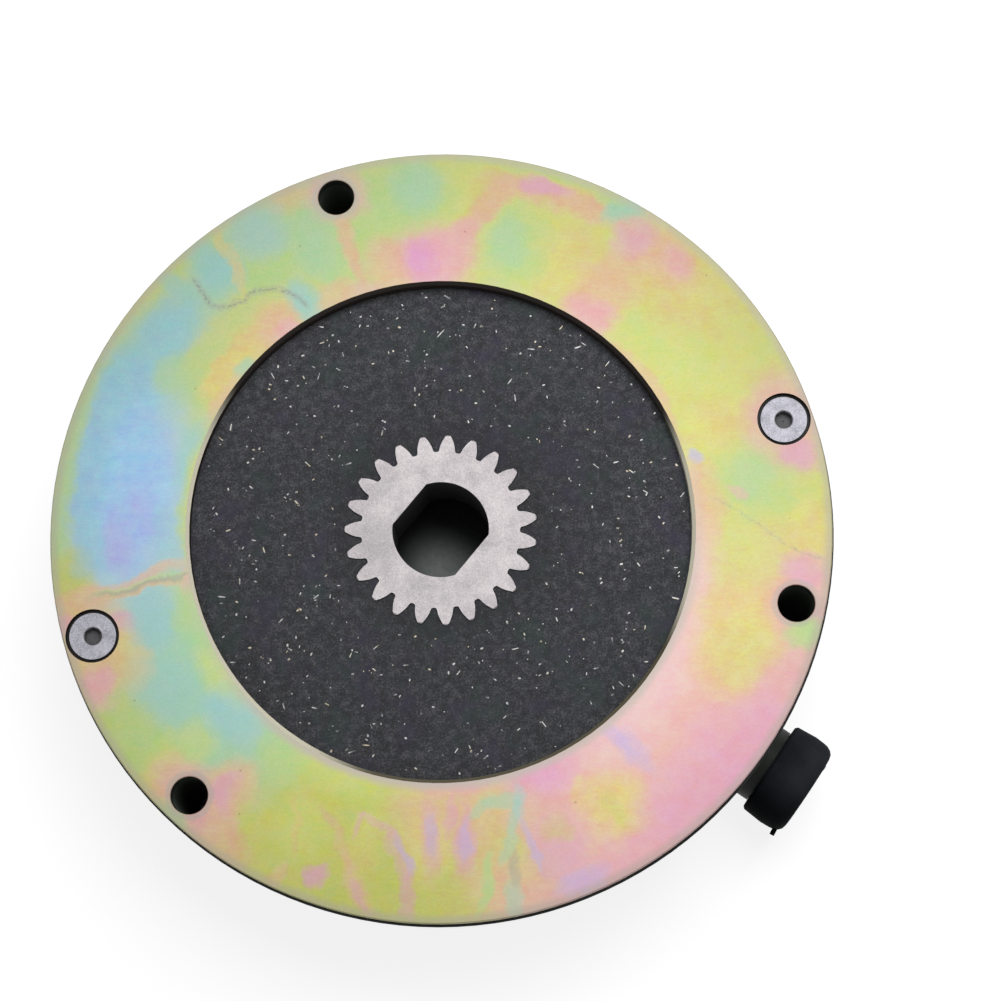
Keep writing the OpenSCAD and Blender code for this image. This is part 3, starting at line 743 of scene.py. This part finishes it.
def black_paint():
    """Black paint with a faint orange peel and dust, most of it on the floor of the well, where a pool of
    light is painted.
    """
    finish = Finish("black_paint")
    place = finish.place()
    x, y, z = finish.parts(place)
    peel = finish.noise(place, 1.4, 3.0, 0.55)
    dust = finish.noise(place, 14.0, 5.0, 0.65)
    colour = finish.blend(finish.rise(dust, 0.45, 0.8), pigment(26, 29, 26), pigment(48, 52, 47))

    # The dusty floor of the well, with a painted pool of light near its middle where light comes in through
    # the bore
    floor = (finish.fall(z, WELL_FLOOR_Z + 0.2, WELL_FLOOR_Z + 0.6)
             * finish.fall(from_axis(x, y), WELL_R - 4.0, WELL_R - 1.0))
    settled = finish.noise(place, 1.6, 4.0, 0.7)
    dust_and_painted_light = finish.blend(settled, pigment(126, 136, 134), pigment(206, 212, 210))
    level = finish.flat(x, y)
    # Painted light: the floor is brightest round this point
    from_painted_light = finish.vector("DISTANCE", level, (-1.0, -3.0, 0.0), output=1)
    dust_and_painted_light = finish.scaled(dust_and_painted_light, finish.fall(from_painted_light + settled * 2.0, 3.0, 16.0, 1.17) + 0.03)
    colour = finish.blend(floor, colour, dust_and_painted_light)

    # The neck: painted light on its upper side, painted shade below
    outside = finish.rise(from_axis(x, y), BODY_R + 0.1, BODY_R + 0.4) * finish.rise(x, 60.0, 70.0)
    painted_light_side = finish.rise(toward(x, y, INLET_ANGLE + 90.0), -9.0, -2.0)
    colour = finish.scaled(colour, 1.0 + outside * (painted_light_side * 1.8 - 0.8))

    # The mounting holes, with paler walls
    bored = (finish.fall(nearest(finish, level, HOLE_ANGLES), HOLE_R + 0.35, HOLE_R + 0.55)
             * finish.rise(z, 1.0, 2.0))
    colour = finish.blend(bored, colour, pigment(98, 106, 96))
    return finish.surface(colour=colour, roughness=0.42 + peel * 0.2, relief=finish.bump(peel, 0.05),
                          specular=0.2)


def brake_lining():
    """Pressed lining: dark grey resin with mineral specks of several sizes, with painted shade round the hub
    and painted light towards the upper right.
    """
    finish = Finish("lining")
    place = finish.place()
    x, y = finish.part(place, 0), finish.part(place, 1)
    mottle = finish.noise(place, 2.2, 5.0, 0.7)
    cloud = finish.noise(place, 18.0, 3.0, 0.6)
    fine = finish.noise(place, 0.5, 3.0, 0.7)
    colour = finish.ramp(mottle * 0.45 + fine * 0.55, [
        (0.37, pigment(18, 18, 23)),
        (0.5, pigment(54, 55, 59)),
        (0.63, pigment(104, 104, 110)),
    ])
    tint = finish.noise(place, 11.0, 3.0, 0.6, output=1)
    green, violet = (finish.rise(finish.part(tint, axis), 0.52, 0.66) for axis in (0, 1))
    colour = finish.blend(green * 0.5, colour, pigment(48, 64, 60))
    colour = finish.blend(violet * 0.5, colour, pigment(62, 57, 78))
    level = finish.flat(x, y)
    # Painted shade round the hub and at its teeth
    painted_shade_round_hub = finish.fall(finish.vector("DISTANCE", level, (8.0, 8.0, 0.0), output=1), 24.0, 44.0)
    painted_shade_at_hub = finish.fall(from_axis(x, y), TOOTH_TIP_R, TOOTH_TIP_R + 5.5)
    # The cloud is the lining's own tone; the last term is painted light towards the upper right
    tone = 0.765 + cloud * 0.3 + toward(x, y, 60.0) * 0.0016
    colour = finish.scaled(colour, tone * (1.0 - painted_shade_round_hub * 0.12) * (1.0 - painted_shade_at_hub * 0.3))
    speck_tone = finish.part(finish.cells(place, 1.1, output=1), 0)
    speck = finish.fall(finish.cells(place, 1.1), 0.12, 0.3) * finish.rise(speck_tone, 0.6, 0.75)
    colour = finish.blend(speck * 0.4, colour, pigment(116, 114, 114))
    relief = finish.bump(fine * 0.5 + mottle * 0.5, 0.08)
    return finish.surface(colour=colour, roughness=0.72, relief=relief, specular=0.35)


def brass_fibre():
    """Short metal fibres in the lining, grey to silver, and brass in places."""
    finish = Finish("brass_fibre")
    place = finish.place()
    tone = finish.noise(place, 1.6, 1.0)
    colour = finish.blend(finish.rise(tone, 0.35, 0.62), pigment(94, 94, 98), pigment(188, 187, 184))
    brass = finish.rise(finish.noise(place, 5.0, 1.0), 0.56, 0.62)
    colour = finish.blend(brass * 0.45, colour, pigment(198, 178, 138))
    return finish.surface(colour=colour, roughness=0.4, metallic=0.3)


def hub_steel():
    """Fine-turned steel with a dull even grain, painted shade at one side, and its bore darkened with painted
    shade.
    """
    finish = Finish("hub_steel")
    place = finish.place()
    x, y, z = finish.parts(place)
    grain = finish.noise(place, 0.35, 4.0, 0.7)
    cloud = finish.noise(place, 6.0, 4.0, 0.6)
    colour = finish.ramp(grain * 0.6 + cloud * 0.4, [
        (0.38, pigment(160, 155, 158)),
        (0.5, pigment(188, 182, 184)),
        (0.6, pigment(208, 202, 203)),
    ])
    # Painted shade on one side of the hub's face
    from_painted_side_shade = finish.vector("DISTANCE", place, (-17.0, -3.0, HUB_FACE_Z), output=1)
    painted_side_shade = finish.fall(from_painted_side_shade, 2.0, 9.0)
    turned = finish.noise(finish.brushed(place, (0.5, 2.4, 1.0), 0.5), 0.8, 4.0, 0.7)
    colour = finish.scaled(colour, 0.94 + turned * 0.12 - painted_side_shade * (0.12 + cloud * 0.12))
    # Painted shade: the bore's wall is made near black and dull
    bore = (finish.fall(from_axis(x, y), BORE_R + 0.3, BORE_R + 0.7)
            * finish.fall(z, HUB_FACE_Z - 0.9, HUB_FACE_Z - 0.05))
    colour = finish.blend(bore * 0.97, colour, pigment(5, 5, 5))
    return finish.surface(colour=colour, roughness=0.42 + grain * 0.16 + bore * 0.4,
                          metallic=(1.0 - bore) * 0.35, relief=finish.bump(grain, 0.03), specular=0.3)


def metal(name, dark, light, roughness, size=1.0):
    """A plain metal with a fine grain between two tones."""
    finish = Finish(name)
    place = finish.place()
    grain = finish.noise(place, size * 0.4, 4.0, 0.65)
    cloud = finish.noise(place, size * 6.0, 3.0, 0.6)
    tone = finish.rise(grain * 0.5 + cloud * 0.5, 0.3, 0.7)
    colour = finish.blend(tone, pigment(*dark), pigment(*light))
    return finish.surface(colour=colour, roughness=roughness + grain * 0.12, metallic=0.8,
                          relief=finish.bump(grain, 0.02))


def screw_steel():
    """Bright cold-formed steel with a fine speckle; the socket and the head's side are darkened with painted
    shade.
    """
    finish = Finish("stainless")
    place = finish.place()
    x, y, z = finish.parts(place)
    grain = finish.noise(place, 0.3, 4.0, 0.7)
    cloud = finish.noise(place, 3.0, 3.0, 0.6)
    colour = finish.ramp(grain * 0.7 + cloud * 0.3, [
        (0.38, pigment(146, 146, 154)),
        (0.5, pigment(188, 187, 197)),
        (0.62, pigment(211, 210, 220)),
    ])
    away = nearest(finish, finish.flat(x, y), SCREW_ANGLES)
    # Painted shade in the hex socket
    socket = (finish.fall(away, SOCKET_CORNER_R - 0.07, SOCKET_CORNER_R + 0.05)
              * finish.fall(z, HEAD_FACE_Z - 0.13, HEAD_FACE_Z - 0.01))
    # Painted shade round the head's rim, in the countersink's gap
    side = (finish.fall(z, HEAD_FACE_Z - 0.18, HEAD_FACE_Z + 0.02)
            * finish.rise(away, HEAD_R - 0.5, HEAD_R - 0.2))
    colour = finish.blend(socket * (0.7 + cloud * 0.3), colour, pigment(52, 50, 49))
    colour = finish.blend(side * 0.9, colour, pigment(24, 22, 22))
    return finish.surface(colour=colour, roughness=0.4 + grain * 0.15,
                          metallic=(1.0 - socket.most(side)) * 0.2, relief=finish.bump(grain, 0.03),
                          specular=0.3)


def moulded(name, dark, light, roughness, grain_size=0.8, depth=0.03, shade=None, specular=0.15):
    """A moulded resin or rubber with a soft mottle."""
    finish = Finish(name)
    place = finish.place()
    grain = finish.noise(place, grain_size, 3.0, 0.6)
    cloud = finish.noise(place, 9.0, 3.0, 0.6)
    colour = finish.blend(finish.rise(cloud, 0.3, 0.7), pigment(*dark), pigment(*light))
    if shade is not None:
        colour = finish.scaled(colour, shade(finish, place))
    return finish.surface(colour=colour, roughness=roughness + grain * 0.15,
                          relief=finish.bump(grain, depth), specular=specular)


def cap_shade(finish, place):
    """Painted light on the cap's upper side and painted shade below, down to deep black."""
    x, y = finish.part(place, 0), finish.part(place, 1)
    return finish.rise(toward(x, y, INLET_ANGLE + 90.0), -13.0, 1.0, 0.12, 1.0)


def wound_copper():
    """Enamelled copper wire in level layers: its height repeats with the wire's thickness."""
    finish = Finish("copper")
    place = finish.place()
    thickness = 0.9
    from_middle = abs((finish.part(place, 2) / thickness).math("FRACT") - 0.5) * 2.0
    tone = finish.noise(place, 8.0, 3.0)
    colour = finish.blend(finish.rise(tone, 0.3, 0.7), pigment(150, 76, 38), pigment(190, 108, 58))
    # Painted shade in the grooves between the turns of wire
    colour = finish.scaled(colour, 1.0 - from_middle * from_middle * 0.5)
    relief = finish.bump(1.0 - from_middle * from_middle, 0.3)
    return finish.surface(colour=colour, roughness=0.3, metallic=0.6, relief=relief)


# Pieces made here


def piece(name, points, faces, material, body, smooth=True):
    """A mesh piece from arrays of points in metres and faces, riding on a body of the brake."""
    mesh = bpy.data.meshes.new(name)
    mesh.from_pydata(points.tolist(), [], faces)
    mesh.materials.append(material)
    mesh.polygons.foreach_set("use_smooth", np.full(len(mesh.polygons), smooth))
    made = bpy.data.objects.new(name, mesh)
    bpy.context.scene.collection.objects.link(made)
    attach(made, body)
    return made


def scattered_fibres(material):
    """Short fibres lying in the lining's face: crumbs, broad chips and long thin fibres. Each is a flat bar
    with six corners: its long axis has a random direction, its outline is that axis plus and minus its half
    width, and its upper outline is drawn in a little."""
    random = np.random.default_rng(41)
    count, crumbs, chips = 500, 0.42, 0.28
    ring = np.sqrt(random.uniform((TOOTH_TIP_R + 2.5) ** 2, (OPENING_R - 1.2) ** 2, count))
    around = random.uniform(0.0, 2.0 * math.pi, count)
    middle = np.stack([ring * np.cos(around), ring * np.sin(around)], 1)
    kind = random.uniform(size=count)
    kinds = [kind < crumbs, kind < crumbs + chips]
    long = np.select(kinds, [random.uniform(0.3, 0.6, count), random.uniform(0.6, 1.0, count)],
                     random.gamma(3.0, 0.42, count).clip(0.9, 2.3))
    half_wide = np.select(kinds, [random.uniform(0.1, 0.17, count), random.uniform(0.18, 0.27, count)],
                          random.uniform(0.13, 0.2, count))
    way = random.uniform(0.0, math.pi, count)

    # The first is the longest one, near the upper edge
    middle[0], long[0], half_wide[0], way[0] = (-0.4, 52.4), 3.5, 0.18, 0.85

    buried, proud, shoulder, drawn = 0.04, 0.035, 0.72, 0.86
    axis = np.stack([np.cos(way), np.sin(way)], 1)
    side = np.stack([-axis[:, 1], axis[:, 0]], 1)
    half_outline = [(1.0, 0.0), (shoulder, 1.0), (-shoulder, 1.0)]
    corners = np.array(half_outline + [(-along, -across) for along, across in half_outline])
    outline = (middle[:, None] + axis[:, None] * corners[None, :, :1] * long[:, None, None] / 2
               + side[:, None] * corners[None, :, 1:] * half_wide[:, None, None])
    drawn_in = middle[:, None] + (outline - middle[:, None]) * drawn
    low = np.concatenate([outline, np.full((count, 6, 1), DISC_FACE_Z - buried)], 2)
    high = np.concatenate([drawn_in, np.full((count, 6, 1), DISC_FACE_Z + proud)], 2)
    points = np.concatenate([low, high], 1).reshape(-1, 3) * MM
    first = np.arange(count)[:, None] * 12
    k = np.arange(6)
    sides = np.stack([k, (k + 1) % 6, (k + 1) % 6 + 6, k + 6], 1)
    faces = (first[:, :, None] + sides[None]).reshape(-1, 4).tolist()
    faces += (first + k[None] + 6).tolist()
    faces += (first + k[::-1][None]).tolist()
    piece("lining_fibres", points, faces, material, "disc", smooth=False)


def wire_height(turn):
    """Height of the wire's middle after some turns: closed in the first and the last turn, open between."""
    closed = SPRING_WIRE_D + 0.1
    inset = SPRING_WIRE_D / 4
    pitch = (SPRING_TOP_Z - POCKET_FLOOR_Z - 2 * inset - 2 * closed) / (SPRING_TURNS - 2)
    return (inset + closed * np.minimum(turn, 1.0) + pitch * (np.clip(turn, 1.0, SPRING_TURNS - 1.0) - 1.0)
            + closed * np.maximum(turn - SPRING_TURNS + 1.0, 0.0))


def wound_spring(number, material):
    """A round wire carried along a helix: its middle goes round at the coil's radius and climbs by
    wire_height, its skin is that middle plus the wire's radius round about it, and both ends are ground
    flat."""
    steps_a_turn, sides = 48, 16
    steps = steps_a_turn * SPRING_TURNS + 1
    long = SPRING_TOP_Z - POCKET_FLOOR_Z
    low, high = (np.array(corner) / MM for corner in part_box(f"spring_{number}"))
    middle = (low + high) / 2
    turn = np.linspace(0.0, SPRING_TURNS, steps)[:, None]
    way = math.atan2(middle[1], middle[0]) + 2.0 * math.pi * turn
    round_wire = np.linspace(0.0, 2.0 * math.pi, sides + 1)[None, :-1]
    coil_r = (SPRING_D - SPRING_WIRE_D) / 2 + SPRING_WIRE_D / 2 * np.cos(round_wire)
    height = wire_height(turn) + SPRING_WIRE_D / 2 * np.sin(round_wire)
    height = np.clip(height, 0.0, long) + POCKET_FLOOR_Z
    points = np.stack([middle[0] + coil_r * np.cos(way), middle[1] + coil_r * np.sin(way), height], 2) * MM
    i, j = np.meshgrid(np.arange(steps - 1), np.arange(sides), indexing="ij")
    k = (j + 1) % sides
    skin = np.stack([i * sides + j, (i + 1) * sides + j, (i + 1) * sides + k, i * sides + k], -1)
    faces = skin.reshape(-1, 4).tolist()
    faces.append(list(range(sides)))
    faces.append([(steps - 1) * sides + s for s in reversed(range(sides))])
    name = f"wound_spring_{number}"
    spring = piece(name, points.reshape(-1, 3), faces, material, "housing")
    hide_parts(f"spring_{number}")
    (long - ARMATURE_TRAVEL) / long
    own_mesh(spring)


# The brake


def main():
    """Stands the brake on its table, gives every piece its finish and adds the pieces made here."""
    place_camera()
    light_up()
    build_table()
    finishes = {
        "zinc_yellow": zinc_yellow(),
        "black_paint": black_paint(),
        "lining": brake_lining(),
        "hub_steel": hub_steel(),
        "stainless": screw_steel(),
        "plate_steel": metal("plate_steel", (92, 94, 98), (122, 124, 128), 0.35, 1.2),
        "spring_steel": metal("spring_steel", (128, 130, 134), (158, 160, 164), 0.3),
        "pin_steel": metal("pin_steel", (160, 162, 166), (186, 188, 192), 0.22),
        "copper": wound_copper(),
        "bobbin": moulded("bobbin", (205, 198, 178), (222, 216, 198), 0.45),
        "resin": moulded("resin", (28, 29, 27), (40, 42, 39), 0.3),
        "rubber": moulded("rubber", (38, 40, 45), (49, 52, 57), 0.7, 0.6, 0.04, cap_shade, 0.03),
    }
    nodes = {
        "zinc_yellow": ["flange_plate"],
        "black_paint": ["magnet_body", "inlet_neck"],
        "lining": ["friction_disc"],
        "hub_steel": ["toothed_hub"],
        "stainless": ["flange_screws"],
        "plate_steel": ["armature_plate"],
        "pin_steel": [f"guide_pin_{i}" for i in range(1, PIN_COUNT + 1)],
        "copper": ["coil_winding"],
        "bobbin": ["coil_bobbin"],
        "resin": ["coil_resin"],
        "rubber": ["inlet_cap", "inlet_bush"],
    }
    for finish, names in nodes.items():
        for name in names:
            mesh = frame["nodes"][name].data
            mesh.materials.clear()
            mesh.materials.append(finishes[finish])
    scattered_fibres(brass_fibre())
    for number in range(1, SPRING_COUNT + 1):
        wound_spring(number, finishes["spring_steel"])


main()
